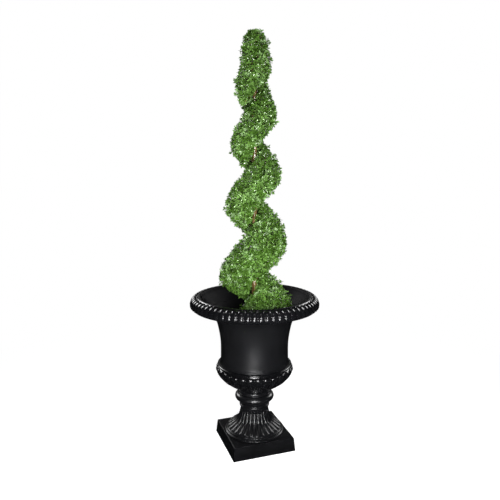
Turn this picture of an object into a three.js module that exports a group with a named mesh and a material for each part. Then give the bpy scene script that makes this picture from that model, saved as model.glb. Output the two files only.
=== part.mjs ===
// Spiral topiary: a clipped green screw of foliage on a slim trunk, standing in a footed urn.
// Lengths are millimetres and +Z is up. The origin is the middle of the plinth's flat underside.
import * as THREE from 'three';

// ---------------------------------------------------------------- driving dimensions

const TOTAL_HEIGHT = 1643;
const CLEARANCE = 0.3; // air left between neighbours whose faces are curved
const TURN = 2 * Math.PI;
const FACING = THREE.MathUtils.degToRad(-19.4); // where the first bulge of the screw points

// Square plinth
const PLINTH = { bottomSide: 262, shoulderSide: 257, topSide: 249, height: 55.6, edge: 3.2 };

// Foot: two thin rings on the plinth, and a hollowed trumpet that narrows up to the neck
const FOOT_RING = { height: 59.6, radius: 118.5, roundness: 4 };
const UPPER_FOOT_RING = { height: 68.1, radius: 112, roundness: 3.5 };
const TRUMPET = [[109, 75.6], [106, 81.6], [92, 91.6], [76, 103.6], [66, 119.6], [60.5, 137.6], [58, 149]];

// Stem between foot and bowl: neck ring, knop and collar ring
const STEM = { bottom: 149, top: 237, neckRadius: 57 };
const NECK_RING = { height: 168, radius: 56, roundness: 6 };
const KNOP = { height: 205, radius: 57, reach: 23, halfHeight: 17 };
const COLLAR_RING = { height: 229.5, radius: 62, roundness: 6.5 };

// Lower bowl: a cup that swells to rounded heads, and a thin ledge on top that carries the bell
const CUP = [[66, 237], [84, 250], [106, 264], [127, 279], [145, 298], [155.5, 316]];
const CUP_HEAD = { height: 327, radius: 147, reach: 11.5, halfHeight: 15 };
const LEDGE = { height: 345, radius: 149, roundness: 3 };

// Waisted bell, from the ledge up to the rim
const BELL = { bottom: 348, top: 572, topRadius: 190 };
const BELL_OUTLINE = [[143.5, 348], [139.5, 357], [138, 380], [137, 425], [141.5, 470],
  [148.5, 505], [156, 531], [168, 552], [190, 572]];

// Rim: it flares to a low, blunt edge, slopes back up in a long brow, and ends in a thin raised lip
const RIM_FLARE = { radius: 210, height: 580 };
const RIM_UNDERSIDE = { height: 597, radius: 238, reach: 22, halfHeight: 13.5 };
const RIM_BROW = { height: 597, radius: 224, reach: 36, halfHeight: 29.5 };
const RIM_LIP = { height: 623, radius: 221, roundness: 6 };

// Inner wall of bowl, bell and rim, from the floor to the lip
const INNER_WALL = [[78, 262], [108, 280], [130, 304], [138, 335], [131, 420], [137, 472],
  [143, 507], [151, 532], [161, 551], [175, 569], [196, 595], [212, 617]];

// Planting fill: dark potting mass that holds the trunk
const FILL = { bottom: 262, top: 505, floorRadius: 72 };

// Trunk: one straight, tapering stem, bedded in the fill
const TRUNK = { bottom: 330, top: 1600, bottomRadius: 12.5, topRadius: 6 };

// Foliage screw: right-handed. Its bulge and the groove below it fall evenly, and then faster
// from a certain turn on, so that the turns stand closer together in the upper half.
const BULGE_LINE = { start: 1559, pitch: 220, widening: 61, from: 2.25 };
const GROOVE_LINE = { start: 1456, pitch: 215, widening: 60, from: 1.85 };
const EASE = 0.1; // turns over which the fall changes
const SCREW = {
  foot: 520, // lowest leaves, just above the fill
  tipCut: 1562, // level where the domed tip meets the first turn
  start: -0.48, // turns before the first bulge at which the screw leaves the tip
};
const FULL_TURNS = 4;
const CROWN = {
  radius: 141, // outer radius at the reference height
  reference: 728,
  slope: 0.093, // radius lost for each millimetre of height
  columnRadius: 54.5, // radius of the slim top
  columnFull: 1600,
  columnStart: 1440,
  dome: 80, // height of the rounded tip
};
const GROOVE = {
  radius: 11.5, // how close the groove comes to the axis
  begins: 1690, // height at which it would begin as a shallow dent
  deepest: 1180, // it is at full depth from here down
};
// Each turn is shouldered above its bulge and blunter below it
const SHOULDER = { squareness: 1.9, fullness: 1.15 };
const UNDERSIDE = { squareness: 2.45, fullness: 1.6 };
const GAP = { turns: 0.115, begins: 1500, full: 1400, least: 0.02 }; // bare trunk in the groove
const URN_MARGIN = 11; // foliage stays this far inside the urn's wall
const LEAST_DEPTH = 3; // of a mass, where it tapers off along the trunk

// Clipped foliage is never quite even: slow waves run round it and up it
const WAVES = [
  { round: 3, rise: 1 / 47, size: 0.010, shift: 0 },
  { round: 5, rise: -1 / 31, size: 0.008, shift: 1 },
  { round: 2, rise: 1 / 19, size: 0.007, shift: 2 },
];

// Facets
const URN_FACETS = 32;
const STEM_FACETS = 24;
const TRUNK_FACETS = 16;
const MASS_STEPS = 11; // along half a turn
const MASS_ROWS = 8; // from one groove to the next
const TIP_FACETS = 16;
const TIP_ROWS = 7;
const TIP_CROWDING = 1.6; // how much the rows draw together towards the very top

// ---------------------------------------------------------------- helpers

const clamp = THREE.MathUtils.clamp;
const lerp = THREE.MathUtils.lerp;
const point = (radius, height) => new THREE.Vector2(radius, height);
const outline = (pairs) => pairs.map(([radius, height]) => point(radius, height));

// Points along an elliptical arc, with angles in degrees from the outward direction
function arc({ radius, height, reach, halfHeight }, from, to, steps) {
  const points = [];
  for (let step = 0; step <= steps; step += 1) {
    const angle = THREE.MathUtils.degToRad(lerp(from, to, step / steps));
    points.push(point(radius + reach * Math.cos(angle), height + halfHeight * Math.sin(angle)));
  }
  return points;
}

const roundBead = ({ radius, height, roundness }, from, to, steps) =>
  arc({ radius, height, reach: roundness, halfHeight: roundness }, from, to, steps);

// A smooth curve through a few profile points
const smooth = (pairs, steps) => new THREE.SplineCurve(outline(pairs)).getPoints(steps);

// A turned body whose profile runs in radius and height
function turned(profile, facets) {
  const geometry = new THREE.LatheGeometry(profile, facets);
  geometry.rotateX(Math.PI / 2);
  return geometry;
}

const model = new THREE.Group();
model.name = 'spiral_topiary';

function addMesh(name, geometry, material) {
  const mesh = new THREE.Mesh(geometry, material.clone());
  mesh.name = name;
  model.add(mesh);
  return mesh;
}

const blackResin = new THREE.MeshStandardMaterial({ color: 0x1b1c1f, roughness: 0.35, metalness: 0 });
const pottingMass = new THREE.MeshStandardMaterial({ color: 0x2a211a, roughness: 0.95, metalness: 0 });
const brownStem = new THREE.MeshStandardMaterial({ color: 0x7a4226, roughness: 0.7, metalness: 0 });
const greenFoliage = new THREE.MeshStandardMaterial({ color: 0x4c7f3c, roughness: 0.6, metalness: 0 });

// ---------------------------------------------------------------- urn

// The plinth is turned with four facets, which gives a square block with softened top edges
function plinthGeometry() {
  const half = (side) => (side / 2) * Math.SQRT2;
  const profile = [
    point(0, 0),
    point(half(PLINTH.bottomSide), 0),
    point(half(PLINTH.shoulderSide), PLINTH.height - PLINTH.edge),
    point(half(PLINTH.topSide), PLINTH.height),
    point(0, PLINTH.height),
  ];
  const geometry = turned(profile, 4);
  geometry.rotateZ(Math.PI / 4);
  return geometry;
}

const footProfile = () => [
  point(0, PLINTH.height),
  ...roundBead(FOOT_RING, -90, 60, 3),
  ...roundBead(UPPER_FOOT_RING, -50, 70, 3),
  ...smooth(TRUMPET, 7),
  point(0, STEM.bottom),
];

const stemProfile = () => [
  point(0, STEM.bottom),
  point(STEM.neckRadius, STEM.bottom),
  ...roundBead(NECK_RING, -70, 70, 3),
  ...arc(KNOP, -75, 75, 6),
  ...roundBead(COLLAR_RING, -60, 60, 3),
  point(COLLAR_RING.radius, STEM.top),
  point(0, STEM.top),
];

// Radius of the inner wall at a height
function innerRadius(height) {
  for (let index = 1; index < INNER_WALL.length; index += 1) {
    const [lowerRadius, lowerHeight] = INNER_WALL[index - 1];
    const [upperRadius, upperHeight] = INNER_WALL[index];
    if (height <= upperHeight) {
      const share = clamp((height - lowerHeight) / (upperHeight - lowerHeight), 0, 1);
      return lerp(lowerRadius, upperRadius, share);
    }
  }
  return Infinity;
}

const innerPoint = (height) => point(innerRadius(height), height);

// The inner wall between two heights, from the top down
const innerWall = (bottom, top) => [
  innerPoint(top),
  ...outline(INNER_WALL).filter((wall) => wall.y > bottom && wall.y < top).reverse(),
  innerPoint(bottom),
];

// Lower bowl with its floor, up to the flat seat of the bell
const bowlProfile = () => [
  point(0, STEM.top),
  ...smooth(CUP, 5),
  ...arc(CUP_HEAD, -25, 75, 3),
  ...roundBead(LEDGE, -60, 90, 2),
  ...innerWall(FILL.bottom, BELL.bottom),
  point(0, FILL.bottom),
];

// A tube between the bowl's seat and the rim's seat
function bellProfile() {
  const outside = smooth(BELL_OUTLINE, 7);
  return [...outside, ...innerWall(BELL.bottom, BELL.top), outside[0]];
}

function rimProfile() {
  const lipHeight = INNER_WALL.at(-1)[1];
  const seat = point(BELL.topRadius, BELL.top);
  return [
    seat,
    point(RIM_FLARE.radius, RIM_FLARE.height),
    ...arc(RIM_UNDERSIDE, -90, -45, 1),
    ...arc(RIM_BROW, 0, 80, 4),
    ...roundBead(RIM_LIP, 30, 170, 2),
    ...innerWall(BELL.top, lipHeight),
    seat,
  ];
}

// The fill is a plug that stands on the bowl's floor, keeps clear of its wall and holds the
// trunk in a tapering socket
function fillProfile() {
  const side = innerWall(FILL.bottom, FILL.top).reverse().slice(1);
  return [
    point(0, FILL.bottom),
    point(FILL.floorRadius, FILL.bottom),
    ...side.map((wall) => point(wall.x - 2 * CLEARANCE, wall.y)),
    point(trunkRadius(FILL.top) + CLEARANCE, FILL.top),
    point(TRUNK.bottomRadius + CLEARANCE, TRUNK.bottom - CLEARANCE),
    point(0, TRUNK.bottom - CLEARANCE),
  ];
}

// ---------------------------------------------------------------- trunk

const trunkRadius = (height) => lerp(TRUNK.bottomRadius, TRUNK.topRadius,
  (height - TRUNK.bottom) / (TRUNK.top - TRUNK.bottom));

const trunkProfile = () => [
  point(0, TRUNK.bottom),
  point(TRUNK.bottomRadius, TRUNK.bottom),
  point(TRUNK.topRadius, TRUNK.top),
  point(0, TRUNK.top),
];

// ---------------------------------------------------------------- foliage

// Height of the bulge or of the groove after a number of turns down from the first bulge
function lineHeight(line, turns) {
  const past = turns - line.from;
  return line.start - line.pitch * turns - line.widening * (past + Math.hypot(past, EASE)) / 2;
}

// Place of a height in the band whose bulge lies a number of turns down: -1 at the groove
// above it, 0 at the bulge and 1 at the groove below it
function placeInBand(turns, height) {
  const bulge = lineHeight(BULGE_LINE, turns);
  const groove = lineHeight(GROOVE_LINE, height > bulge ? turns - 1 : turns);
  const share = clamp((height - bulge) / (groove - bulge), 0, 1);
  return height > bulge ? -share : share;
}

// Outer radius of the whole crown: a long cone under a slim, domed top
function crownRadius(height) {
  const cone = CROWN.radius - CROWN.slope * (height - CROWN.reference);
  const slim = 1 - THREE.MathUtils.smoothstep(height, CROWN.columnStart, CROWN.columnFull);
  const column = CROWN.columnRadius + (cone - CROWN.columnRadius) * slim;
  const fromTip = clamp((TOTAL_HEIGHT - height) / CROWN.dome, 0, 1);
  const roundTip = Math.sqrt(1 - (1 - fromTip) ** 2);
  return Math.min(cone, column) * roundTip;
}

// Share of the radius that the waves leave at a place
function uneven(angle, height) {
  const share = (wave) => wave.size * (Math.sin(wave.round * angle + wave.rise * height + wave.shift) - 1);
  return 1 + WAVES.reduce((sum, wave) => sum + share(wave), 0);
}

// How deep the groove is at a height, from 0 at the tip to 1 lower down
const grooveDepth = (height) => 1 - THREE.MathUtils.smoothstep(height, GROOVE.deepest, GROOVE.begins);

// Outer radius of the foliage, for an angle round the axis, a height and a place in its band
function foliageRadius(angle, height, place) {
  const crown = crownRadius(height) * uneven(angle, height);
  const half = place < 0 ? SHOULDER : UNDERSIDE;
  const bulge = (1 - Math.abs(place) ** half.squareness) ** half.fullness;
  const screw = GROOVE.radius + (crown - GROOVE.radius) * (1 - grooveDepth(height) * (1 - bulge));
  return Math.min(screw, innerRadius(height) - URN_MARGIN);
}

// Half the height, in turns, of the bare stretch of trunk in the groove
function gapTurns(height) {
  const share = 1 - THREE.MathUtils.smoothstep(height, GAP.full, GAP.begins);
  return Math.max(GAP.turns * share, GAP.least);
}

// Top and bottom of the band whose bulge lies a number of turns down
function bandLimits(turns) {
  const above = lineHeight(GROOVE_LINE, turns - 1);
  const below = lineHeight(GROOVE_LINE, turns);
  const top = lineHeight(GROOVE_LINE, turns - 1 + gapTurns(above));
  const bottom = lineHeight(GROOVE_LINE, turns - gapTurns(below));
  return {
    top: Math.min(top, SCREW.tipCut) - CLEARANCE,
    bottom: Math.max(bottom, SCREW.foot) + CLEARANCE,
  };
}

// One mass of the screw. A box is bent round the trunk: its length follows the turn, its height
// runs from groove to groove, and its depth from the trunk's bark to the clipped surface.
function massGeometry(startTurns, endTurns) {
  const geometry = new THREE.BoxGeometry(1, 1, 1, MASS_STEPS, MASS_ROWS, 1);
  const places = geometry.getAttribute('position');
  const seam = CLEARANCE / (2 * TRUNK.topRadius * TURN); // half the cut between two masses, in turns
  for (let index = 0; index < places.count; index += 1) {
    const along = places.getX(index) + 0.5;
    const up = places.getY(index) + 0.5;
    const turns = lerp(endTurns - seam, startTurns + seam, along);
    const angle = FACING - turns * TURN;
    const { top, bottom } = bandLimits(turns);
    const height = lerp(bottom, top, up);
    const bark = trunkRadius(height) + CLEARANCE;
    const clipped = foliageRadius(angle, height, placeInBand(turns, height));
    const skin = Math.max(clipped, bark + LEAST_DEPTH);
    const radius = places.getZ(index) > 0 ? skin : bark;
    places.setXYZ(index, radius * Math.cos(angle), radius * Math.sin(angle), height);
  }
  return geometry;
}

// Turns down to the band that holds a place in the tip: the last one whose groove lies below it
function tipTurns(angle, height) {
  const part = (FACING - angle) / TURN;
  let turns = part - Math.floor(part);
  while (lineHeight(GROOVE_LINE, turns - 1) < height) {
    turns -= 1;
  }
  return turns;
}

// The domed tip: a turned cap over the trunk's end, made uneven like the rest
function tipGeometry() {
  const hole = trunkRadius(SCREW.tipCut) + CLEARANCE;
  const profile = [
    point(0, TRUNK.top + CLEARANCE),
    point(TRUNK.topRadius + CLEARANCE, TRUNK.top + CLEARANCE),
    point(hole, SCREW.tipCut + CLEARANCE),
  ];
  for (let row = 0; row < TIP_ROWS; row += 1) {
    const climbed = 1 - (1 - row / TIP_ROWS) ** TIP_CROWDING;
    const height = lerp(SCREW.tipCut + CLEARANCE, TOTAL_HEIGHT, climbed);
    profile.push(point(crownRadius(height), height));
  }
  profile.push(point(0, TOTAL_HEIGHT));
  const geometry = turned(profile, TIP_FACETS);
  const places = geometry.getAttribute('position');
  for (let index = 0; index < places.count; index += 1) {
    const [x, y, height] = [places.getX(index), places.getY(index), places.getZ(index)];
    const radius = Math.hypot(x, y);
    if (radius > hole + CLEARANCE) {
      const angle = Math.atan2(y, x);
      const scale = foliageRadius(angle, height, placeInBand(tipTurns(angle, height), height)) / radius;
      places.setXYZ(index, x * scale, y * scale, height);
    }
  }
  return geometry;
}

// ---------------------------------------------------------------- assembly

addMesh('plinth', plinthGeometry(), blackResin);
addMesh('urn_foot', turned(footProfile(), STEM_FACETS), blackResin);
addMesh('urn_stem', turned(stemProfile(), STEM_FACETS), blackResin);
addMesh('urn_bowl', turned(bowlProfile(), URN_FACETS), blackResin);
addMesh('urn_bell', turned(bellProfile(), URN_FACETS), blackResin);
addMesh('urn_rim', turned(rimProfile(), URN_FACETS), blackResin);
addMesh('planting_fill', turned(fillProfile(), URN_FACETS), pottingMass);
addMesh('trunk', turned(trunkProfile(), TRUNK_FACETS), brownStem);

addMesh('foliage_tip', tipGeometry(), greenFoliage);
addMesh('foliage_shoulder', massGeometry(SCREW.start, 0), greenFoliage);
for (let turn = 1; turn <= FULL_TURNS; turn += 1) {
  addMesh(`foliage_turn_${turn}_front`, massGeometry(turn - 1, turn - 0.5), greenFoliage);
  addMesh(`foliage_turn_${turn}_back`, massGeometry(turn - 0.5, turn), greenFoliage);
}
addMesh('foliage_foot', massGeometry(FULL_TURNS, FULL_TURNS + 0.5), greenFoliage);

export default model;
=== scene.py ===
# %% [markdown]
# # A clipped green screw in a black footed urn
# The imported model already holds every piece at its real size and place. This lesson gives each
# piece the surface of the real one: fine turned and fluted mouldings for the urn, bark for the
# stem, and thousands of small leaves where the model has plain masses. Loading the model first
# means that outlines and places can be read off it, and only the ornament is set out.

# %% Load the imported model
import bmesh
import bpy
import numpy as np
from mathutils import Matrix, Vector


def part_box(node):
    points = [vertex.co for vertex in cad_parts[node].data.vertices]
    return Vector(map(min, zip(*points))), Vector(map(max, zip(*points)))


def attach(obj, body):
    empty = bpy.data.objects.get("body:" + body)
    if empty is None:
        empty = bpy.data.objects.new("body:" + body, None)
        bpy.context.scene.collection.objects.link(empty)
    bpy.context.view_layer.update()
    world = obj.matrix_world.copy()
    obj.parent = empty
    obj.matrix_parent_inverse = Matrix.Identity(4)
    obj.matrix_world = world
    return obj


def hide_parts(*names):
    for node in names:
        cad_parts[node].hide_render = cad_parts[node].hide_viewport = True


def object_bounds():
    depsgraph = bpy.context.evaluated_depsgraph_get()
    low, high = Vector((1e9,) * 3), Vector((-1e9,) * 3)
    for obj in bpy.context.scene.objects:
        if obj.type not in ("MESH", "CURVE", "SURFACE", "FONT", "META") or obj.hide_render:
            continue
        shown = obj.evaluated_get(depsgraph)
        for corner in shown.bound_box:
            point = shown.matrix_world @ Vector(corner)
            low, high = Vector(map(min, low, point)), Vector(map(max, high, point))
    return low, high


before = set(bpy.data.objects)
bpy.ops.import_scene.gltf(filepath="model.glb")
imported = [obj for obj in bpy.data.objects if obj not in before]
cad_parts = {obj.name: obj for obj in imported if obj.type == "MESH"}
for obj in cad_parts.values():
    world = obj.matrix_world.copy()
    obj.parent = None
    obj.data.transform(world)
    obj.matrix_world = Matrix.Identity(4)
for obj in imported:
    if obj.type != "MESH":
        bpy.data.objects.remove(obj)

cad_low, cad_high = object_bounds()
tall = cad_high.z - cad_low.z
chance = np.random.default_rng(20)
print("pieces in the model:", len(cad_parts), "- height in metres:", round(tall, 3))

# %% [markdown]
# ## Meshes from arrays
# A modifier stack could make some of these shapes, but a lobed rim or a spray of leaves is a
# formula applied to many points at once. NumPy does that in one line, and Blender takes whole
# arrays through `foreach_set`, which is far quicker than adding points one by one.

# %% A helper that turns arrays into a piece
def make_piece(name, points, face_groups, materials, slot_name, stands_for, shade=None, smooth=True):
    mesh = bpy.data.meshes.new(name)
    points = np.asarray(points, np.float32)
    corners = np.concatenate([group.ravel() for group in face_groups]).astype(np.int32)
    sizes = np.concatenate([np.full(len(group), group.shape[1]) for group in face_groups])
    starts = np.concatenate([[0], np.cumsum(sizes)[:-1]]).astype(np.int32)
    mesh.vertices.add(len(points))
    mesh.vertices.foreach_set("co", points.ravel())
    mesh.loops.add(len(corners))
    mesh.loops.foreach_set("vertex_index", corners)
    mesh.polygons.add(len(sizes))
    mesh.polygons.foreach_set("loop_start", starts)
    mesh.polygons.foreach_set("use_smooth", np.full(len(sizes), smooth))
    for material in materials:
        mesh.materials.append(material)
    if shade is not None:
        mesh.polygons.foreach_set("material_index", shade.astype(np.int32))
    mesh.update(calc_edges=True)
    mesh.validate()
    piece = bpy.data.objects.new(name, mesh)
    bpy.context.scene.collection.objects.link(piece)
    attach(piece, "root")
    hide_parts(*stands_for)
    triangles = int((sizes - 2).sum())
    print(f"{name}: {len(points)} points, {triangles} triangles")
    return piece


# %% [markdown]
# ## A short way to wire a material
# Shader trees are easier to read as a few calls than as many lines of links. `wire` adds a node,
# sets its values and joins its inputs in one go. Values that are the same all over the surface
# are still set straight on the shader's own sockets.

# %% Helpers for shader nodes
def new_shader(name, roughness):
    material = bpy.data.materials.new(name)
    material.use_nodes = True
    surface = material.node_tree.nodes["Principled BSDF"]
    surface.inputs["Roughness"].default_value = roughness
    return material, material.node_tree, surface


def wire(tree, kind, inputs=None, **settings):
    node = tree.nodes.new(kind)
    for key, value in settings.items():
        setattr(node, key, value)
    for key, value in (inputs or {}).items():
        if isinstance(value, bpy.types.NodeSocket):
            tree.links.new(value, node.inputs[key])
        else:
            node.inputs[key].default_value = value
    return node


def ramp(tree, factor, stops):
    node = wire(tree, "ShaderNodeValToRGB", {"Fac": factor})
    while len(node.color_ramp.elements) < len(stops):
        node.color_ramp.elements.new(0.5)
    for element, (place, colour) in zip(node.color_ramp.elements, stops):
        element.position = place
        element.color = (*colour, 1)
    return node.outputs["Color"]


def spread(tree, value, low, high):
    node = wire(tree, "ShaderNodeMapRange", {"Value": value, "To Min": low, "To Max": high})
    return node.outputs["Result"]


def object_noise(tree, scale, detail=3.0, stretch=(1, 1, 1)):
    place = wire(tree, "ShaderNodeTexCoord").outputs["Object"]
    if stretch != (1, 1, 1):
        place = wire(tree, "ShaderNodeMapping", {"Vector": place, "Scale": stretch}).outputs["Vector"]
    noise = wire(tree, "ShaderNodeTexNoise", {"Vector": place, "Scale": scale, "Detail": detail})
    return noise.outputs["Fac"]


print("shader helpers ready")

# %% [markdown]
# ## Floor, backdrop and air
# A studio shows the piece on a pale floor that runs into a pale backdrop. The urn is polished
# black, so anything pale around it would show in it as grey. Here the floor and the backdrop are
# kept out of reflections, which keeps the black deep. The backdrop is a wide dome that only the
# eye sees, and the world behind it is a soft fill that only plain surfaces see. Near the piece
# the floor is white paint that takes a shadow. Further out it turns into the backdrop's own glow,
# so no horizon shows. The plain "Standard" view keeps colours as they are mixed.

# %% Build the stage
FLOOR_REACH = 40.0
FADE_FROM, FADE_TO = 0.25, 1.9


def pale_floor():
    material, tree, surface = new_shader("pale_floor", 0.9)
    place = wire(tree, "ShaderNodeTexCoord").outputs["Object"]
    away = wire(tree, "ShaderNodeVectorMath", {0: place}, operation="LENGTH").outputs["Value"]
    far = wire(tree, "ShaderNodeMapRange", {"Value": away, "From Min": FADE_FROM, "From Max": FADE_TO},
               interpolation_type="SMOOTHSTEP").outputs["Result"]
    tree.links.new(ramp(tree, far, [(0, (0.9, 0.9, 0.9)), (1, (0, 0, 0))]), surface.inputs["Base Color"])
    tree.links.new(spread(tree, far, 0.66, 1.0), surface.inputs["Emission Strength"])
    surface.inputs["Emission Color"].default_value = (1, 1, 1, 1)
    surface.inputs["Specular IOR Level"].default_value = 0
    return material


def lay_floor():
    mesh = bpy.data.meshes.new("floor")
    edge = FLOOR_REACH
    corners = [(-edge, -edge, 0), (edge, -edge, 0), (edge, edge, 0), (-edge, edge, 0)]
    mesh.from_pydata(corners, [], [(0, 1, 2, 3)])
    mesh.materials.append(pale_floor())
    floor = bpy.data.objects.new("floor", mesh)
    bpy.context.scene.collection.objects.link(floor)
    floor.visible_glossy = False


def build_dome():
    glow, _, surface = new_shader("pale_backdrop", 1)
    surface.inputs["Base Color"].default_value = (0, 0, 0, 1)
    surface.inputs["Emission Color"].default_value = (1, 1, 1, 1)
    surface.inputs["Emission Strength"].default_value = 1.0
    mesh = bpy.data.meshes.new("backdrop")
    shape = bmesh.new()
    bmesh.ops.create_uvsphere(shape, u_segments=32, v_segments=16, radius=FLOOR_REACH)
    shape.to_mesh(mesh)
    shape.free()
    mesh.materials.append(glow)
    dome = bpy.data.objects.new("backdrop", mesh)
    bpy.context.scene.collection.objects.link(dome)
    dome.visible_glossy = dome.visible_diffuse = dome.visible_shadow = dome.visible_transmission = False


lay_floor()
build_dome()

scene = bpy.context.scene
scene.view_settings.view_transform = "Standard"
world = bpy.data.worlds.new("soft_air")
world.use_nodes = True
scene.world = world
air = world.node_tree.nodes["Background"]
air.inputs["Color"].default_value = (1, 1, 1, 1)
air.inputs["Strength"].default_value = 0.29
world.cycles_visibility.glossy = False
print("floor reaches", FLOOR_REACH, "m; world strength", air.inputs["Strength"].default_value)

# %% [markdown]
# ## Camera
# The eye stands a little to the left of the front, about two thirds of the way up the plant, and
# looks slightly down, so the rim shows as an ellipse and two sides of the plinth can be seen.
# Its place is given as a share of the height of the piece, which keeps the framing if the piece
# is scaled.

# %% Place the camera
CAMERA_TURN = np.radians(-19.4)
CAMERA_AWAY = 1.2006 * tall
CAMERA_UP = 0.6742 * tall
CAMERA_TILT = np.radians(8.52)
CAMERA_AIM = np.radians(0.53)
camera_data = bpy.data.cameras.new("camera")
camera_data.sensor_width = 36
camera_data.lens = 36.1
camera = bpy.data.objects.new("camera", camera_data)
camera.location = (CAMERA_AWAY * np.sin(CAMERA_TURN), -CAMERA_AWAY * np.cos(CAMERA_TURN), CAMERA_UP)
camera.rotation_euler = (np.pi / 2 - CAMERA_TILT, 0, CAMERA_TURN + CAMERA_AIM)
scene.collection.objects.link(camera)
scene.camera = camera
print("camera at", [round(c, 3) for c in camera.location])

# %% [markdown]
# ## Lights
# Gloss is drawn by the lights, not by the paint, so the boxes that light the piece are kept apart
# from the boxes that shine in it. The key box in front and a weak one overhead light plain
# surfaces and are never mirrored. All the others are only mirrored, and most have a narrow
# `spread`, which works like a honeycomb grid and keeps each box on the part it is meant for. A low
# one in front puts a bright dot on the head of each lobe and a soft band down the bell. A higher
# one draws a streak in each flute of the foot. A small one level with the crown gives the leaves
# their white specks. A high one picks out the lip. Two behind at the sides draw streaks along the
# lobes at both ends of the rim and leave its front dark. A wide panel shows in the top of the
# plinth. Every box is aimed with `to_track_quat`, the usual way to point one thing at another.

# %% Hang the softboxes
def softbox(name, place, aim, width, height, watts, mirrored=True, lights_up=True, grid=180):
    data = bpy.data.lights.new(name, "AREA")
    data.shape = "RECTANGLE"
    data.size = width
    data.size_y = height
    data.energy = watts
    data.spread = np.radians(grid)
    lamp = bpy.data.objects.new(name, data)
    lamp.location = place
    lamp.rotation_euler = (Vector(aim) - Vector(place)).to_track_quat("-Z", "Y").to_euler()
    lamp.visible_camera = False
    lamp.visible_glossy = mirrored
    lamp.visible_diffuse = lights_up
    scene.collection.objects.link(lamp)


front = Vector((np.sin(CAMERA_TURN), -np.cos(CAMERA_TURN), 0))
side = Vector((np.cos(CAMERA_TURN), np.sin(CAMERA_TURN), 0))
up = Vector((0, 0, 1))
middle = Vector((0, 0, tall / 2))
low_down = Vector((0, 0, 0.45 * tall))
crown = Vector((0, 0, 0.76 * tall))
rim_level = Vector((0, 0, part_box("urn_rim")[0].z))
bell_level = Vector((0, 0, 0.30 * tall))
foot_level = Vector((0, 0, 0.115 * tall))
softbox("key_box", front * 1.40 + side * 0.12 + up * 0.82, low_down, 0.55, 0.55, 36, mirrored=False)
softbox("overhead_box", front * -0.5 + up * 3.3, middle, 1.6, 0.8, 8, mirrored=False)
softbox("low_glint_box", front * 1.65 - side * 0.05 + up * 0.27, bell_level, 0.75, 0.50, 1.75,
        lights_up=False, grid=30)
softbox("foot_glint_box", front * 1.60 + up * 0.85, foot_level, 0.45, 0.35, 0.60, lights_up=False, grid=20)
softbox("leaf_glint_box", front * 2.0 + side * 0.20 + up * 1.36, crown, 0.40, 0.40, 2.8,
        lights_up=False, grid=40)
softbox("high_glint_box", front * 1.6 + up * 3.1, low_down, 0.9, 0.4, 5, lights_up=False)
softbox("left_box", front * -1.9 - side * 1.9 + up * 1.9, rim_level, 1.3, 1.4, 3.1, lights_up=False, grid=36)
softbox("right_box", front * -1.8 + side * 1.9 + up * 1.9, rim_level, 1.3, 1.4, 2.6, lights_up=False, grid=36)
softbox("mirror_panel", front * -3.2 + up * 1.3, low_down, 1.7, 0.7, 1.2, lights_up=False)

# %% [markdown]
# ## Black moulded resin
# The urn is one colour, but a moulded resin is never one gloss: it is a touch duller in broad
# patches, faintly dusty, slightly wavy and finely pitted like orange peel. Four noises do this,
# from a wide one for the dust to a very fine one for the pits. One recipe with three numbers
# makes four finishes: satin for the plain walls, buffed for the foot and stem, polished for the
# lobed bowl and rim, and unpolished for the inside, which nobody rubs.

# %% Mix the resin
DUST_SCALE, DULL_SCALE, WAVE_SCALE, PIT_SCALE = 14, 42, 26, 520


def black_resin(name, glossiest, dullest, shine):
    material, tree, surface = new_shader(name, glossiest)
    clouds = object_noise(tree, DUST_SCALE)
    colour = ramp(tree, clouds, [(0.3, (0.0030, 0.0031, 0.0036)), (0.7, (0.0048, 0.0049, 0.0056))])
    tree.links.new(colour, surface.inputs["Base Color"])
    dull = object_noise(tree, DULL_SCALE)
    tree.links.new(spread(tree, dull, glossiest, dullest), surface.inputs["Roughness"])
    pits = wire(tree, "ShaderNodeBump", {"Strength": 0.10, "Distance": 0.0008,
                                         "Height": object_noise(tree, PIT_SCALE, 4)})
    waves = wire(tree, "ShaderNodeBump", {"Strength": 0.22, "Distance": 0.004,
                                          "Normal": pits.outputs["Normal"],
                                          "Height": object_noise(tree, WAVE_SCALE, 2)})
    tree.links.new(waves.outputs["Normal"], surface.inputs["Normal"])
    surface.inputs["Specular IOR Level"].default_value = shine
    return material


resin = black_resin("satin_resin", 0.36, 0.46, 0.155)
buffed = black_resin("buffed_resin", 0.26, 0.35, 0.44)
polished = black_resin("polished_resin", 0.12, 0.20, 0.5)
unpolished = black_resin("unpolished_resin", 0.55, 0.70, 0.06)
print("made", resin.name, buffed.name, polished.name, unpolished.name)

# %% [markdown]
# ## The outline of a turned piece
# Foot, stem, bowl, bell and rim are all turned: one outline, swept round the axis. The model's
# solids are turned from that same outline, so it can be read off them: the points that lie on one
# side of the axis, followed edge by edge. The walk starts on the axis where the piece has a
# bottom, and goes round once where it is a tube.

# %% Read an outline off a solid
def outline_of(node):
    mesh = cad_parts[node].data
    spots = [tuple(round(c, 6) for c in vertex.co) for vertex in mesh.vertices]
    on_side = {s for s in spots if abs(s[0]) < 1e-5 and s[1] < 1e-5}
    links = {}
    for edge in mesh.edges:
        a, b = (spots[index] for index in edge.vertices)
        if a in on_side and b in on_side and a != b:
            links.setdefault(a, set()).add(b)
            links.setdefault(b, set()).add(a)
    ends = sorted((s for s in links if len(links[s]) == 1), key=lambda s: s[2])
    path = [ends[0] if ends else min(links, key=lambda s: (s[2], s[1]))]
    while True:
        onward = [s for s in sorted(links[path[-1]]) if s not in path]
        if not onward:
            break
        path.append(onward[-1])
    outline = np.array([(-s[1], s[2]) for s in path])
    radius, height = outline.T
    area = np.sum(radius * np.roll(height, -1) - np.roll(radius, -1) * height)
    return outline if area > 0 else outline[::-1], not ends


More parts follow.
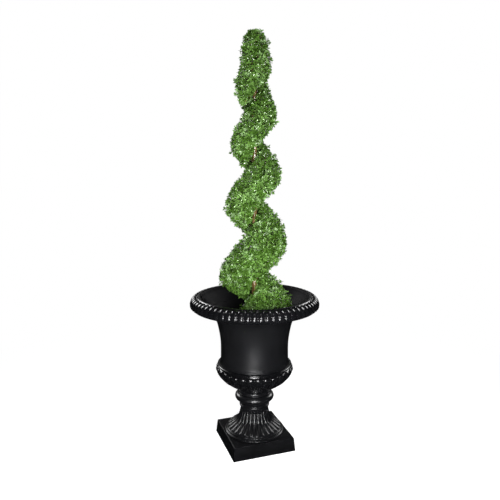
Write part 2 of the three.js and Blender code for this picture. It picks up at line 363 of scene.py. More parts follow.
for node in ("urn_foot", "urn_stem", "urn_bowl", "urn_bell", "urn_rim"):
    print(node, "outline points:", len(outline_of(node)[0]))

# %% [markdown]
# ## Smoothing the outline
# The solids have coarse steps, so the outline is rounded with a Catmull-Rom curve, which passes
# through its points. Where two mouldings meet in a nick, or at a sharp arris, the curve has to
# stop and start again, or the nick would wash out. Those corners are found by how hard the line
# turns, and each is cut back by just under a millimetre, as a mould leaves it.

# %% Round the curves and keep the corners
NICK = np.radians(-30)
ARRIS = np.radians(68)
ROUND = 0.0009


def curve_through(points, step):
    padded = np.vstack([2 * points[0] - points[1], points, 2 * points[-1] - points[-2]])
    laid = [points[0]]
    for p0, p1, p2, p3 in zip(padded[:-3], padded[1:-2], padded[2:-1], padded[3:]):
        knots = np.cumsum([0] + [max(np.linalg.norm(b - a), 1e-9) ** 0.5
                                 for a, b in ((p0, p1), (p1, p2), (p2, p3))])
        count = max(int(np.ceil(np.linalg.norm(p2 - p1) / step)), 1)
        for t in np.linspace(knots[1], knots[2], count + 1)[1:]:
            a1, a2, a3 = (((k1 - t) * a + (t - k0) * b) / (k1 - k0) for a, b, k0, k1 in
                          ((p0, p1, knots[0], knots[1]), (p1, p2, knots[1], knots[2]),
                           (p2, p3, knots[2], knots[3])))
            b1 = ((knots[2] - t) * a1 + (t - knots[0]) * a2) / (knots[2] - knots[0])
            b2 = ((knots[3] - t) * a2 + (t - knots[1]) * a3) / (knots[3] - knots[1])
            laid.append(((knots[2] - t) * b1 + (t - knots[1]) * b2) / (knots[2] - knots[1]))
    return np.array(laid)


def smooth_outline(outline, closed, step):
    def turn_at(index):
        before = outline[index] - outline[index - 1]
        after = outline[(index + 1) % len(outline)] - outline[index]
        cross = before[0] * after[1] - before[1] * after[0]
        return np.arctan2(cross, before @ after)

    inner = range(len(outline)) if closed else range(1, len(outline) - 1)
    corners = [index for index in inner if not NICK < turn_at(index) < ARRIS]
    stops = corners + [corners[0] + len(outline)] if closed else [0] + corners + [len(outline) - 1]
    laid = []
    for start, end in zip(stops[:-1], stops[1:]):
        run = outline[np.arange(start, end + 1) % len(outline)]
        run = curve_through(run, step) if len(run) > 2 else straight_run(run, step)
        if closed or start > 0:
            run[0] += (run[1] - run[0]) * min(ROUND / np.linalg.norm(run[1] - run[0]), 0.4)
        if closed or end < len(outline) - 1:
            run[-1] += (run[-2] - run[-1]) * min(ROUND / np.linalg.norm(run[-2] - run[-1]), 0.4)
        laid.append(run)
    return np.vstack(laid)


def straight_run(run, step):
    count = max(int(np.ceil(np.linalg.norm(run[1] - run[0]) / step)), 1)
    return run[0] + (run[1] - run[0]) * np.linspace(0, 1, count + 1)[:, None]


print("foot outline, smoothed:", len(smooth_outline(*outline_of("urn_foot"), 0.002)), "points")

# %% [markdown]
# ## Turning a piece, with relief
# A screw modifier could sweep the outline, but the lobes and flutes need every point moved along
# the surface's own normal by an amount that depends on where it is. So the sweep is done here:
# rings of points, a relief function for each piece that gives the depth at each point, and
# four-sided faces between the rings. Where the outline reaches the axis, the ring shrinks to one
# point and the faces there are triangles.

# %% Sweep the outline and press the relief in
def turn_piece(name, node, around, step, relief=None, material=resin, slot_name="urn_black"):
    outline, closed = outline_of(node)
    outline = smooth_outline(outline, closed, step)
    radius, height = outline.T
    along = np.gradient(outline, axis=0)
    if closed:
        along = np.roll(outline, -1, 0) - np.roll(outline, 1, 0)
    along /= np.maximum(np.linalg.norm(along, axis=1, keepdims=True), 1e-12)
    angle = np.arange(around) / around * 2 * np.pi
    radius, height = radius[:, None] + 0 * angle, height[:, None] + 0 * angle
    if relief:
        depth = relief(radius, height, angle[None, :] + 0 * radius)
        radius = radius - depth * along[:, 1:]
        height = height + depth * along[:, :1]
    points = np.stack([radius * np.cos(angle), radius * np.sin(angle), height], -1)
    rows = len(outline)
    index = np.arange(rows * around).reshape(rows, around)
    lower = index if closed else index[:-1]
    upper = np.roll(index, -1, 0) if closed else index[1:]
    quads = np.stack([lower, np.roll(lower, -1, 1), np.roll(upper, -1, 1), upper], -1)
    if closed:
        faces = [quads.reshape(-1, 4)]
        points = points.reshape(-1, 3)
    else:
        foot, head = index[1], index[-2]
        faces = [quads[1:-1].reshape(-1, 4),
                 np.stack([np.full(around, rows * around), np.roll(foot, -1), foot], -1),
                 np.stack([np.full(around, rows * around + 1), head, np.roll(head, -1)], -1)]
        points = np.vstack([points.reshape(-1, 3), points[0, :1] * (0, 0, 1), points[-1, :1] * (0, 0, 1)])
    return make_piece(name, *drop_loose(points, faces), [material], slot_name, [node])


def drop_loose(points, faces):
    used = np.unique(np.concatenate([group.ravel() for group in faces]))
    renumber = np.zeros(len(points), int)
    renumber[used] = np.arange(len(used))
    return points[used], [renumber[group] for group in faces]


def across(angle, count, turned=0.0):
    """Where a point lies across its lobe: -1 and 1 at the edges, 0 in the middle."""
    return 2 * (((angle - turned) * count / (2 * np.pi) + 0.5) % 1) - 1


def ease(value, start, end):
    share = np.clip((value - start) / (end - start), 0, 1)
    return share * share * (3 - 2 * share)


print("turning helpers ready")

# %% [markdown]
# ## Plinth
# The plinth is a square block whose sides lean in a little, so that it leaves its mould, with
# soft edges. It is built as a stack of rounded squares with one corner radius: each level is a
# side and a height, and the top edge is a quarter round.

# %% Stack rounded squares
CORNER_SHARE = 0.6
CAP_SHARE = 0.5
CORNER_TURNS = np.radians(np.linspace(0, 90, 7))


def rounded_square(side_length, corner, height):
    reach = side_length / 2 - corner
    ring = []
    for quarter, (sx, sy) in enumerate(((1, 1), (-1, 1), (-1, -1), (1, -1))):
        swing = CORNER_TURNS + quarter * np.pi / 2
        ring += [(sx * reach + corner * np.cos(a), sy * reach + corner * np.sin(a), height) for a in swing]
    return np.array(ring)


def build_plinth():
    low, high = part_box("plinth")
    top_side = max(v.co.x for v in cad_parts["plinth"].data.vertices if v.co.z > high.z - 1e-5) * 2
    bottom_side = high.x - low.x
    edge = (bottom_side - top_side) / 4
    corner = CORNER_SHARE * edge
    levels = [(bottom_side - edge, 0.0), (bottom_side, edge / 2)]
    for angle in CORNER_TURNS:
        levels.append((top_side + 2 * edge * (np.cos(angle) - 0.5), high.z - edge * (1 - np.sin(angle))))
    rings = [rounded_square(levels[0][0] * CAP_SHARE, corner, 0.0)]
    rings += [rounded_square(side_length, corner, height) for side_length, height in levels]
    rings += [rounded_square(levels[-1][0] * CAP_SHARE, corner, high.z)]
    points = np.vstack(rings)
    count = len(rings[0])
    index = np.arange(len(points)).reshape(len(rings), count)
    lower, upper = index[:-1], index[1:]
    quads = np.stack([lower, np.roll(lower, -1, 1), np.roll(upper, -1, 1), upper], -1).reshape(-1, 4)
    caps = [index[:1, ::-1], index[-1:]]
    return make_piece("plinth_block", points, [quads, *caps], [resin], "urn_black", ["plinth"])


build_plinth()

# %% [markdown]
# ## Foot and stem
# The foot is a trumpet with hollow flutes that stop in round scoops just above the rings, and
# thin ridges between them. A flute is the lower half of a circle pressed in: its depth is
# `sqrt(1 - across² - past²)`, where `past` only grows beyond the last full scoop. The flutes run on
# up the neck, under the ring of the stem, so both pieces share one relief.

# %% Press the flutes
FLUTES = 30
FLUTE_SHARE, FLUTE_DEEP = 0.42, 0.0046
FLUTE_TOP, TOP_LONG = 0.160, 0.004
SCOOP_AT, SCOOP_LONG = 0.0865, 0.010
FACING = CAMERA_TURN - np.pi / 2
RIDGE = 0.86


def flute_relief(radius, height, angle):
    width = across(angle, FLUTES, FACING) / RIDGE
    past = np.clip((SCOOP_AT - height) / SCOOP_LONG, 0, 2) + np.clip((height - FLUTE_TOP) / TOP_LONG, 0, 2)
    round_cut = np.sqrt(np.clip(1 - width ** 2 - past ** 2, 0, 1))
    depth = np.minimum(FLUTE_SHARE * np.pi * radius / FLUTES, FLUTE_DEEP)
    outer = ease(radius, 0.02, 0.05)
    return depth * round_cut * outer


turn_piece("fluted_foot", "urn_foot", FLUTES * 16, 0.0022, flute_relief, buffed)
turn_piece("ringed_stem", "urn_stem", FLUTES * 8, 0.0018, flute_relief, buffed)

# %% [markdown]
# ## Lower bowl
# The lower bowl is gadrooned: long tongues that start thin at the stem, swell outwards and end in
# round heads under the ledge. Each tongue is a half cylinder with a half ball on its end, so the
# same circle formula works, this time leaving the middle proud and sinking the edges.

# %% Raise the tongues
TONGUES = 28
TONGUE_SHARE = 0.42
TONGUE_FOOT = (0.238, 0.262)
TONGUE_HEAD, TONGUE_ROUND = 0.327, 0.0135
LEDGE_FOOT, LEDGE_EDGE = 0.3405, 0.3440
BOWL_FLOOR = 0.2615
BETWEEN_WALLS = ((0.262, 0.30, 0.345), (0.081, 0.134, 0.142))


def tongue_relief(radius, height, angle):
    width = 0.97 * across(angle, TONGUES, FACING + np.pi / TONGUES)
    past = np.clip((height - TONGUE_HEAD) / TONGUE_ROUND, 0, 1)
    proud = np.sqrt(np.clip(1 - width ** 2 - past ** 2, 0, 1))
    depth = TONGUE_SHARE * np.pi * radius / TONGUES
    fade = ease(height, *TONGUE_FOOT) * (1 - ease(height, LEDGE_FOOT, LEDGE_EDGE)) * ease(radius, 0.03, 0.06)
    inner_wall = (radius < np.interp(height, *BETWEEN_WALLS)) & (height > BOWL_FLOOR)
    return depth * (1 - proud) * fade * ~inner_wall


turn_piece("gadrooned_bowl", "urn_bowl", TONGUES * 16, 0.0022, tongue_relief, polished)

# %% [markdown]
# ## Bell
# The bell has no ornament. It only needs a fine, even sweep, so that the long soft highlight down
# its front runs without a break. Inside and outside are one closed skin, so the dull inside is
# made by giving the unpolished finish to each face that looks towards the axis. The rim gets the
# same treatment in the next step.

# %% Sweep the bell and dull its inside
LIP_CREST = 0.2265


def dull_the_inside(piece):
    mesh = piece.data
    mesh.materials.append(unpolished)
    middle, normal = np.empty((2, len(mesh.polygons), 3), np.float32)
    mesh.polygons.foreach_get("center", middle.ravel())
    mesh.polygons.foreach_get("normal", normal.ravel())
    inward = np.sum(middle[:, :2] * normal[:, :2], axis=1) < 0
    inward &= np.hypot(middle[:, 0], middle[:, 1]) < LIP_CREST
    mesh.polygons.foreach_set("material_index", inward.astype(np.int32))
    print(piece.name, "inside faces:", int(inward.sum()))


bell_piece = turn_piece("waisted_bell", "urn_bell", 192, 0.004)
dull_the_inside(bell_piece)

# %% [markdown]
# ## Rim
# The rim rolls over and carries a ring of lobes that run outwards from the thin lip and end in
# round heads at the outer edge, like the edge of a pie. Every point's place round the roll is
# taken as an angle from the middle of the roll: the lobes fill the upper and outer part, their
# heads hang over the outer edge, and a shallow cove runs below them. A real rim is a little
# fuller than the plain solid, so `swell` adds three to four millimetres on top and underneath.

# %% Lay the lobes round the roll
LOBES = 64
LOBE_DEPTH = 0.0060
UPPER_REACH, UPPER_RISE = 0.036, 0.0295
UNDER_REACH, UNDER_RISE = 0.022, 0.0135
HEAD_AT, HEAD_LONG = -14, 34
LIP_AT, LIP_LONG = 66, 9
TOP_SWELL, UNDER_SWELL = 0.0030, 0.0042
SWELL_FROM = 0.2225


def rim_relief(radius, height, angle):
    low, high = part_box("urn_rim")
    edge_height = min(v.co.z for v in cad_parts["urn_rim"].data.vertices if v.co.x > high.x - 1e-5)
    reach = np.where(height > edge_height, UPPER_REACH, UNDER_REACH)
    rise = np.where(height > edge_height, UPPER_RISE, UNDER_RISE)
    round_place = np.degrees(np.arctan2((height - edge_height) / rise, (radius - high.x) / reach + 1))
    width = 0.97 * across(angle, LOBES, FACING)
    past_head = np.clip((HEAD_AT - round_place) / HEAD_LONG, 0, 1)
    past_lip = np.clip((round_place - LIP_AT) / LIP_LONG, 0, 1)
    proud = np.sqrt(np.clip(1 - width ** 2 - past_head ** 2 - past_lip ** 2, 0, 1))
    fade = ease(round_place, -62, -46) * (1 - ease(round_place, 75, 80)) * (radius > LIP_CREST)
    swell = TOP_SWELL * ease(round_place, 10, 60) * (1 - ease(round_place, 84, 110))
    swell += UNDER_SWELL * ease(-round_place, 0, 42) * ease(radius, 0.236, 0.246)
    return LOBE_DEPTH * (1 - proud) * fade - swell * (radius > SWELL_FROM)


rim_piece = turn_piece("gadrooned_rim", "urn_rim", LOBES * 12, 0.0026, rim_relief, polished)
dull_the_inside(rim_piece)

# %% [markdown]
# ## Potting mass
# Under the leaves the urn is filled with a dark potting mass. Its solid is turned like the urn, so
# the same sweep makes it, and the relief here is a handful of slow waves that leave the top lumpy.

# %% Fill the urn
def potting_mix():
    material, tree, surface = new_shader("potting_mix", 0.95)
    crumbly = object_noise(tree, 160, 5)
    colour = ramp(tree, crumbly, [(0.3, (0.012, 0.008, 0.005)), (0.55, (0.040, 0.026, 0.016)),
                                  (0.75, (0.085, 0.058, 0.036))])
    tree.links.new(colour, surface.inputs["Base Color"])
    grain = wire(tree, "ShaderNodeBump", {"Strength": 0.8, "Distance": 0.003,
                                          "Height": object_noise(tree, 300, 6)})
    tree.links.new(grain.outputs["Normal"], surface.inputs["Normal"])
    return material


LUMP_DEEP = 0.0028


def soil_relief(radius, height, angle):
    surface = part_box("planting_fill")[1].z
    x, y = radius * np.cos(angle), radius * np.sin(angle)
    waves = np.sin(61 * x + 1.3) * np.sin(53 * y)
    waves += 0.6 * np.sin(131 * x - 97 * y) + 0.5 * np.sin(173 * y + 90 * x)
    return LUMP_DEEP * (1.0 + waves / 2.1) * (height > surface - 0.0005) * ease(radius, 0.013, 0.022)


soil = potting_mix()
turn_piece("potting_fill", "planting_fill", 128, 0.0045, soil_relief, soil, "potting_mass")

# %% [markdown]
# ## Crumbs
# Loose crumbs lie on top of the potting mass and take its finish. They are one joined mesh: a
# twelve-pointed lump, squashed, turned and copied by arrays. They replace no solid of their own.

# %% Scatter the crumbs
CRUMBS = 1100
CRUMB_SMALL, CRUMB_LARGE = 0.0016, 0.0042
STEM_ROOM, WALL_ROOM = 0.018, 0.006
golden = (1 + 5 ** 0.5) / 2
LUMP = np.array([(0, a, b * golden) for a in (-1, 1) for b in (-1, 1)]
                + [(a, b * golden, 0) for a in (-1, 1) for b in (-1, 1)]
                + [(b * golden, 0, a) for a in (-1, 1) for b in (-1, 1)]) / 1.9
LUMP_FACES = np.array([(i, j, k) for i in range(12) for j in range(i + 1, 12) for k in range(j + 1, 12)
                       if max(np.linalg.norm(LUMP[i] - LUMP[j]), np.linalg.norm(LUMP[j] - LUMP[k]),
                              np.linalg.norm(LUMP[k] - LUMP[i])) < 1.1])
facing_out = np.einsum("fi,fi->f", LUMP[LUMP_FACES[:, 0]], np.cross(
    LUMP[LUMP_FACES[:, 1]] - LUMP[LUMP_FACES[:, 0]], LUMP[LUMP_FACES[:, 2]] - LUMP[LUMP_FACES[:, 0]])) > 0
LUMP_FACES = np.where(facing_out[:, None], LUMP_FACES, LUMP_FACES[:, ::-1])


def random_turns(count):
    quarter = chance.normal(size=(count, 4))
    w, x, y, z = (quarter / np.linalg.norm(quarter, axis=1, keepdims=True)).T
    return np.stack([np.stack([1 - 2 * (y * y + z * z), 2 * (x * y - w * z), 2 * (x * z + w * y)], -1),
                     np.stack([2 * (x * y + w * z), 1 - 2 * (x * x + z * z), 2 * (y * z - w * x)], -1),
                     np.stack([2 * (x * z - w * y), 2 * (y * z + w * x), 1 - 2 * (x * x + y * y)], -1)], 1)


def scatter_crumbs():
    low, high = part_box("planting_fill")
    reach = high.x - WALL_ROOM
    size = chance.uniform(CRUMB_SMALL, CRUMB_LARGE, CRUMBS)
    shape = LUMP * chance.uniform(0.55, 1.25, (CRUMBS, 12, 3)) * size[:, None, None]
    shape = np.einsum("cij,cpj->cpi", random_turns(CRUMBS), shape)
    radius = STEM_ROOM + (reach - STEM_ROOM) * np.sqrt(chance.uniform(0, 1, CRUMBS))
    angle = chance.uniform(0, 2 * np.pi, CRUMBS)
    place = np.stack([radius * np.cos(angle), radius * np.sin(angle), high.z - 0.002 + size * 0.2], -1)
    points = (shape + place[:, None]).reshape(-1, 3)
    faces = (LUMP_FACES[None] + 12 * np.arange(CRUMBS)[:, None, None]).reshape(-1, 3)
    return make_piece("potting_crumbs", points, [faces], [soil], "potting_mass", [], smooth=False)


scatter_crumbs()

# %% [markdown]
# ## Bark
# The stem is slim and brown, with long pale ridges and a varnished gloss. One noise, stretched
# along the stem, makes the ridges. It drives the colour, the gloss and the bump together, so the
# pale ridges are also the raised and shiny ones.

# %% Mix the bark
def bark():
    material, tree, surface = new_shader("red_brown_bark", 0.4)
    ridges = object_noise(tree, 260, 4, stretch=(1, 1, 0.16))
    colour = ramp(tree, ridges, [(0.30, (0.036, 0.023, 0.006)), (0.50, (0.098, 0.060, 0.018)),
                                 (0.68, (0.265, 0.180, 0.085))])
    tree.links.new(colour, surface.inputs["Base Color"])
    tree.links.new(spread(tree, ridges, 0.34, 0.20), surface.inputs["Roughness"])
    surface.inputs["Specular IOR Level"].default_value = 0.8
    grain = wire(tree, "ShaderNodeBump", {"Strength": 0.25, "Distance": 0.001, "Height": ridges})
    tree.links.new(grain.outputs["Normal"], surface.inputs["Normal"])
    return material


bark_finish = bark()
print("made", bark_finish.name)

# %% [markdown]
# ## The skin of each mass
# Each mass of foliage is a plain solid whose outside is where the shears left the leaves. Sprays
# of leaves should end on that outside, so it is sampled: pick a triangle by its area, pick a spot
# in it, and keep the spot only if no other is too near. That last rule spreads the sprays evenly,
# as growing shoots do, where plain chance would leave clumps and holes. The faces along the stem
# and the cuts between two masses are left out, because nothing grows there. Above the end of the
# stem the dome is kept whole.

# %% Spread the growing points
SPRAY_GAP = 0.0104
BARK_SIDE = 0.0180
CUT_FACING, UNDER_FACING, CUT_NEAR = 0.9, -0.98, 0.0015
MASSES = sorted(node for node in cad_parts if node.startswith("foliage_"))
tip_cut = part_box("foliage_tip")[0].z


def stem_radius(height):
    ends = np.array([vertex.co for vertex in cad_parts["trunk"].data.vertices])
    low, high = ends[:, 2].min(), ends[:, 2].max()
    reach = np.hypot(ends[:, 0], ends[:, 1])
    wide = reach[ends[:, 2] < low + 1e-4].max()
    slim = reach[ends[:, 2] > high - 1e-4].max()
    return wide + (slim - wide) * (height - low) / (high - low)


def skin_of(node):
    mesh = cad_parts[node].data
    mesh.calc_loop_triangles()
    spots = np.array([vertex.co for vertex in mesh.vertices])
    corners = spots[np.array([triangle.vertices for triangle in mesh.loop_triangles])]
    middle = corners.mean(1)
    cross = np.cross(corners[:, 1] - corners[:, 0], corners[:, 2] - corners[:, 0])
    area = np.linalg.norm(cross, axis=1) / 2
    outward = cross / np.maximum(2 * area, 1e-12)[:, None]
    reach = np.hypot(middle[:, 0], middle[:, 1])
    around = (middle[:, 0] * outward[:, 1] - middle[:, 1] * outward[:, 0]) / reach
    stem_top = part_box("trunk")[1].z
    beside_stem = (reach < stem_radius(middle[:, 2]) + BARK_SIDE) & (middle[:, 2] < stem_top + 0.002)
    keep = ~beside_stem & (np.abs(around) < CUT_FACING)
    keep &= (np.abs(middle[:, 2] - tip_cut) > CUT_NEAR) & (outward[:, 2] > UNDER_FACING)
    return corners[keep], outward[keep], area[keep]


def growing_points():
    taken, points, outward, owner = {}, [], [], []
    for number, node in enumerate(MASSES):
        corners, normals, area = skin_of(node)
        tries = int(5 * area.sum() / SPRAY_GAP ** 2)
        pick = chance.choice(len(area), tries, p=area / area.sum())
        u, v = np.sqrt(chance.uniform(0, 1, tries)), chance.uniform(0, 1, tries)
        share = np.stack([1 - u, u * (1 - v), u * v], -1)
        spots = np.einsum("tc,tcx->tx", share, corners[pick])
        for spot, index in zip(spots, pick):
            cell = tuple((spot // SPRAY_GAP).astype(int))
            near = (taken.get((cell[0] + i, cell[1] + j, cell[2] + k), ())
                    for i in (-1, 0, 1) for j in (-1, 0, 1) for k in (-1, 0, 1))
            if any(np.dot(spot - other, spot - other) < SPRAY_GAP ** 2 for group in near for other in group):
                continue
            taken.setdefault(cell, []).append(spot)
            points.append(spot)
            outward.append(normals[index])
            owner.append(number)
        print(f"{node}: {area.sum():.3f} m2 of skin, {owner.count(number)} sprays")
    return np.array(points), np.array(outward), np.array(owner)


growth_at, growth_out, growth_owner = growing_points()
print("sprays in all:", len(growth_at))

# %% [markdown]
# ## Limbs as tubes
# Boughs, branches and twigs are all tapering tubes along a path. Sweeping a ring along thousands
# of short paths at once is again array work: the line from a path's start to its end gives two
# crosswise directions, and every ring on that path lies in those two.

# %% Tubes along many paths
def unit(vectors):
    return vectors / np.maximum(np.linalg.norm(vectors, axis=-1, keepdims=True), 1e-12)


def crosswise(direction):
    helper = np.where(np.abs(direction[..., 2:]) < 0.8, (0.0, 0.0, 1.0), (1.0, 0.0, 0.0))
    first = unit(np.cross(direction, helper))
    return first, np.cross(direction, first)


def tubes(paths, radii, sides):
    """paths is (count, steps, 3) and radii (count, steps); the ends are closed."""
    count, steps, _ = paths.shape
    first, second = crosswise(unit(paths[:, -1] - paths[:, 0]))
    angle = np.arange(sides) / sides * 2 * np.pi
    ring = first[:, None, :] * np.cos(angle)[:, None] + second[:, None, :] * np.sin(angle)[:, None]
    points = paths[:, :, None, :] + ring[:, None, :, :] * radii[:, :, None, None]
    index = np.arange(count * steps * sides).reshape(count, steps, sides)
    lower, upper = index[:, :-1], index[:, 1:]
    quads = np.stack([lower, np.roll(lower, -1, 2), np.roll(upper, -1, 2), upper], -1).reshape(-1, 4)
    return points.reshape(-1, 3), [quads, index[:, 0, ::-1], index[:, -1]]


print("tube helper ready")

# %% [markdown]
# ## Stem
# The stem is one straight rod that thins towards the tip. Its relief is real: long ridges that
# wander round it, and small knots where two slow waves meet.

# %% Sweep the stem
STEM_SIDES, STEM_RINGS = 28, 520
RIDGE_SHARE, KNOT_SHARE, KNOT_FROM = 0.010, 0.25, 0.72


def build_stem():
    low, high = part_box("trunk")
    height = np.linspace(low.z, high.z, STEM_RINGS)[:, None]
    angle = np.arange(STEM_SIDES) / STEM_SIDES * 2 * np.pi + 0 * height
    ridges = np.sin(7 * angle + 9 * np.sin(height * 31)) + 0.6 * np.sin(11 * angle - 60 * height)
    knots = np.sin(height * 118 + 1) * np.sin(2 * angle + height * 75)
    knots = np.clip(knots, KNOT_FROM, 1) - KNOT_FROM
    radius = stem_radius(height) * (0.985 + RIDGE_SHARE * ridges + KNOT_SHARE * knots)
    points = np.stack([radius * np.cos(angle), radius * np.sin(angle), height + 0 * angle], -1)
    index = np.arange(STEM_RINGS * STEM_SIDES).reshape(STEM_RINGS, STEM_SIDES)
    lower, upper = index[:-1], index[1:]
    quads = np.stack([lower, np.roll(lower, -1, 1), np.roll(upper, -1, 1), upper], -1).reshape(-1, 4)
    return make_piece("barked_stem", points.reshape(-1, 3), [quads, index[:1, ::-1], index[-1:]],
                      [bark_finish], "trunk_bark", ["trunk"])


build_stem()

# %% [markdown]
# ## Boughs
# Each mass is fed by boughs that leave the stem in it or just below it. The rule is simple:
# a limb heads for the middle of the leaves it has to feed, then splits and heads for the middle
# of each share. So the sprays are sorted by their angle round the stem into sectors. Each sector
# gets one bough, and each bough splits into branches for the sprays from the lowest to the
# highest. Each spray keeps the number of its branch, because its twig starts on that branch.

# %% Split the sprays among boughs
SECTOR = np.radians(24)
FORKS = (0.45, 0.6, 0.75, 0.9, 1.0)
HEART_SHARE, GOAL_SHARE = 0.72, 0.84
BOUGH_BEND, BRANCH_BEND = 0.003, 0.002
BOUGH_STEPS, BRANCH_STEPS = 5, 4
BOUGH_RISE = 0.30
BOUGH_WIDE, BOUGH_SLIM = 0.0026, 0.0015
BRANCH_SLIM = 0.0009


def bent(start, end, bend, steps):
    share = np.linspace(0, 1, steps)[:, None]
    return start + (end - start) * share + bend * np.sin(np.pi * share)


def grow_boughs():
    boughs, branches, fed_by = [], [], np.full(len(growth_at), -1)
    for number in range(len(MASSES)):
        members = np.flatnonzero(growth_owner == number)
        angle = np.arctan2(growth_at[members, 1], growth_at[members, 0])
        sector = np.floor((angle + np.pi) / SECTOR).astype(int)
        for wedge in np.unique(sector):
            group = members[sector == wedge]
            heart = growth_at[group].mean(0) * (HEART_SHARE, HEART_SHARE, 1)
            reach = np.hypot(heart[0], heart[1])
            start = np.array([0, 0, min(heart[2] - BOUGH_RISE * reach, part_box("trunk")[1].z - 0.002)])
            bough = bent(start, heart, chance.normal(0, BOUGH_BEND, 3), BOUGH_STEPS)
            boughs.append(bough)
            ordered = group[np.argsort(growth_at[group, 2])]
            for share, fork in zip(np.array_split(ordered, len(FORKS)), FORKS):
                if len(share) == 0:
                    continue
                leaves_bough = bough[int(round(fork * (BOUGH_STEPS - 1)))]
                goal = growth_at[share].mean(0) * (GOAL_SHARE, GOAL_SHARE, 1)
                bend = chance.normal(0, BRANCH_BEND, 3)
                branches.append(bent(leaves_bough, goal, bend, BRANCH_STEPS))
                fed_by[share] = len(branches) - 1
    return np.array(boughs), np.array(branches), fed_by


bough_paths, branch_paths, fed_by = grow_boughs()
bough_radii = np.linspace(BOUGH_WIDE, BOUGH_SLIM, BOUGH_STEPS) * np.ones((len(bough_paths), 1))
branch_radii = np.linspace(BOUGH_SLIM, BRANCH_SLIM, BRANCH_STEPS) * np.ones((len(branch_paths), 1))
bough_points, bough_faces = tubes(bough_paths, bough_radii, 6)
branch_points, branch_faces = tubes(branch_paths, branch_radii, 5)
make_piece("boughs", bough_points, bough_faces, [bark_finish], "trunk_bark", [])
make_piece("branches", branch_points, branch_faces, [bark_finish], "trunk_bark", [])
print(len(bough_paths), "boughs and", len(branch_paths), "branches")

# %% [markdown]
# ## Twigs and their sprays
# A twig runs from its branch to the foot of a spray, and on through the spray to its tip. The
# spray points outwards and a little up, with some chance in it. It is shorter close to the stem,
# where there is no room for a long one. Slow waves set some sprays deeper than others, and a few
# stray ones stand out, so the clipped surface is a little clumpy, as shears leave it. Few twigs
# can be seen, so three sides are enough. Young wood is still green, with a brown cast.

# %% Lay the twigs
def green_wood():
    material, tree, surface = new_shader("young_wood", 0.6)
    patches = object_noise(tree, 180, 2)
    colour = ramp(tree, patches, [(0.35, (0.045, 0.050, 0.016)), (0.65, (0.100, 0.088, 0.034))])
    tree.links.new(colour, surface.inputs["Base Color"])
    return material


SPRAY_SHORT, SPRAY_LONG = 0.010, 0.036
SPRAY_RISE, SPRAY_SPREAD = 0.22, 0.30
ROOM_SHARE, SPRAY_GROWN = 0.72, (0.85, 1.1)
SPRAY_INSET, INSET_CHANCE = 0.0060, 0.0026
STRAY, STRAY_OUT = 0.035, 0.009
CLUMP = 0.0050
CLUMP_WAVES = (95, 105, 120)
TWIG_RADII = (0.0008, 0.00065, 0.0006, 0.0004)
TWIG_FROM, TWIG_BEND = 0.55, 0.002
count = len(growth_at)
direction = unit(growth_out + (0, 0, SPRAY_RISE) + chance.normal(0, SPRAY_SPREAD, (count, 3)))
reach = np.hypot(growth_at[:, 0], growth_at[:, 1]) - stem_radius(growth_at[:, 2])
spray_long = np.clip(ROOM_SHARE * reach, SPRAY_SHORT, SPRAY_LONG)
spray_long = spray_long * chance.uniform(*SPRAY_GROWN, count)
inset = SPRAY_INSET + chance.normal(0, INSET_CHANCE, count)
inset -= STRAY_OUT * (chance.uniform(0, 1, count) < STRAY)
clumped = CLUMP * np.prod(np.sin(growth_at * CLUMP_WAVES + (0.3, 1.1, 2.0)), axis=1)
inset += clumped * (growth_at[:, 2] < tip_cut)
spray_tip = growth_at - growth_out * inset[:, None]
spray_foot = spray_tip - direction * spray_long[:, None]
branch_share = chance.uniform(TWIG_FROM, 1.0, count)[:, None]
twig_start = branch_paths[fed_by, 1] * (1 - branch_share) + branch_paths[fed_by, 3] * branch_share
twig_bend = (twig_start + spray_foot) / 2 + chance.normal(0, TWIG_BEND, (count, 3))
twig_paths = np.stack([twig_start, twig_bend, spray_foot, spray_tip], 1)
twig_radii = np.array(TWIG_RADII) * np.ones((count, 1))
twig_points, twig_faces = tubes(twig_paths, twig_radii, 3)
young_wood = green_wood()
make_piece("twigs", twig_points, twig_faces, [young_wood], "trunk_bark", [])

# %% [markdown]
# ## Leaf greens
# The leaves are moulded in a few greens and mixed by the handful, so each spray is one green. Each
# green is a plain base colour with a slight mottle and a waxy gloss, which gives the white specks
# where a leaf happens to face a softbox. Each row below is a name, a colour and the share of the
# sprays that get it.

# %% Mix the greens
GREENS = [
    ("deep_green", (0.046, 0.108, 0.011), 0.18),
    ("box_green", (0.069, 0.153, 0.021), 0.24),
    ("leaf_green", (0.096, 0.198, 0.035), 0.25),
    ("fresh_green", (0.130, 0.250, 0.056), 0.18),
    ("light_green", (0.172, 0.305, 0.094), 0.10),
    ("pale_green", (0.245, 0.380, 0.165), 0.05),
]
DARKER, LIGHTER = 0.80, 1.18


def waxy_leaf(name, colour):
    material, tree, surface = new_shader(name, 0.30)
    darker = tuple(DARKER * part for part in colour)
    lighter = tuple(LIGHTER * part for part in colour)
    mottle = object_noise(tree, 130, 2)
    tree.links.new(ramp(tree, mottle, [(0.35, darker), (0.65, lighter)]), surface.inputs["Base Color"])
    tree.links.new(spread(tree, mottle, 0.20, 0.34), surface.inputs["Roughness"])
    surface.inputs["Specular IOR Level"].default_value = 0.62
    return material


greens = [waxy_leaf(name, colour) for name, colour, _ in GREENS]
print("greens:", [material.name for material in greens])

# %% [markdown]
# ## One leaf
# A leaf is a small pointed oval, folded a little along its midrib and drooping at the tip. Eight
# points are enough: the stalk end, two rows of left edge, midrib and right edge, and the tip.
# The numbers are shares of the leaf's length and width.

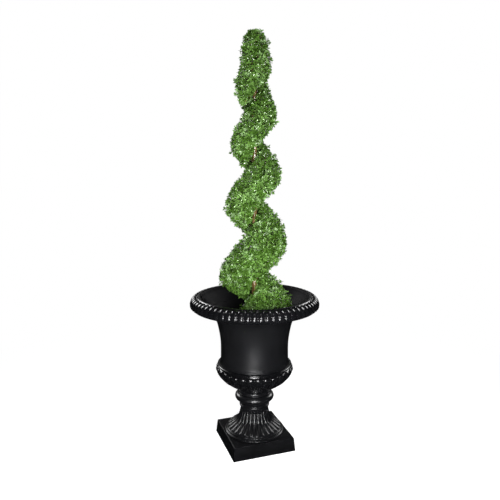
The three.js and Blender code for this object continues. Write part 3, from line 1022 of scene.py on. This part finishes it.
# %% Cut the leaf
LEAF_LONG, LEAF_WIDE = 0.0168, 0.0080
LEAF = np.array([(0.00, 0.00, 0.00),
                 (0.30, -0.43, 0.10), (0.32, 0.00, 0.02), (0.30, 0.43, 0.10),
                 (0.66, -0.40, 0.07), (0.68, 0.00, 0.00), (0.66, 0.40, 0.07),
                 (1.00, 0.00, -0.10)])
LEAF_FACES = np.array([(0, 2, 1), (0, 3, 2), (1, 2, 5), (1, 5, 4),
                       (2, 3, 6), (2, 6, 5), (4, 5, 7), (5, 6, 7)])
print("a leaf has", len(LEAF), "points and", len(LEAF_FACES), "faces")

# %% [markdown]
# ## Sprays of leaves
# On a spray the leaves sit in opposite pairs, each pair a quarter turn from the last, and a tuft
# of three closes the tip. Every leaf leans forward, more so towards the tip, and shows its upper
# side to whoever looks down the spray. Each station is a place along the spray, a quarter turn, a
# lean in degrees and a size. The leaves of one mass are joined into one mesh.

# %% Set the leaves on the sprays
STATIONS = [(0.22, quarter, 70, 1.00) for quarter in (0, 2)]
STATIONS += [(0.45, quarter, 66, 1.00) for quarter in (1, 3)]
STATIONS += [(0.68, quarter, 62, 0.96) for quarter in (0, 2)]
STATIONS += [(0.88, quarter, 56, 0.88) for quarter in (1, 3)]
STATIONS += [(1.00, third * 4 / 3 + 0.4, 42, 0.78) for third in (0, 1, 2)]
STATIONS = np.array(STATIONS)
ROLL_CHANCE, LEAN_CHANCE, TWIST_CHANCE = 0.25, 11, 0.45
LEAF_GROWN = (0.82, 1.15)


def leaves_of(chosen):
    sprays, stations = len(chosen), len(STATIONS)
    share, quarter, lean, size = STATIONS.T
    along = direction[chosen][:, None, :]
    first, second = crosswise(direction[chosen])
    roll = chance.uniform(0, 2 * np.pi, (sprays, 1)) + quarter * np.pi / 2
    roll = roll + chance.normal(0, ROLL_CHANCE, (sprays, stations))
    lean = np.radians(lean + chance.normal(0, LEAN_CHANCE, (sprays, stations)))[..., None]
    sideways = first[:, None] * np.cos(roll)[..., None] + second[:, None] * np.sin(roll)[..., None]
    ahead = unit(np.cos(lean) * along + np.sin(lean) * sideways)
    upward = unit(along - ahead * np.sum(along * ahead, -1, keepdims=True))
    twist = chance.normal(0, TWIST_CHANCE, (sprays, stations))[..., None]
    upward = np.cos(twist) * upward + np.sin(twist) * np.cross(ahead, upward)
    across_leaf = np.cross(upward, ahead)
    start = spray_foot[chosen][:, None] + (spray_tip - spray_foot)[chosen][:, None] * share[:, None]
    grown = size * chance.uniform(*LEAF_GROWN, (sprays, stations))
    long, wide = (LEAF_LONG * grown)[..., None, None], (LEAF_WIDE * grown)[..., None, None]
    points = (start[:, :, None] + ahead[:, :, None] * LEAF[:, 0, None] * long
              + across_leaf[:, :, None] * LEAF[:, 1, None] * wide
              + upward[:, :, None] * LEAF[:, 2, None] * long)
    leaves = sprays * stations
    faces = (LEAF_FACES[None] + len(LEAF) * np.arange(leaves)[:, None, None]).reshape(-1, 3)
    green = chance.choice(len(GREENS), sprays, p=[part for _, _, part in GREENS])
    return points.reshape(-1, 3), faces, np.repeat(green, stations * len(LEAF_FACES))


for number, node in enumerate(MASSES):
    leaf_points, leaf_faces, leaf_shade = leaves_of(np.flatnonzero(growth_owner == number))
    make_piece(node.replace("foliage", "leaves"), leaf_points, [leaf_faces], greens, "foliage_green",
               [node], shade=leaf_shade)

# %% [markdown]
# ## The model's size
# The looks must not change the size of the piece. The model's box is printed here.

# %% Print the model's box
print("model box:", [round(c, 4) for c in (*cad_low, *cad_high)])
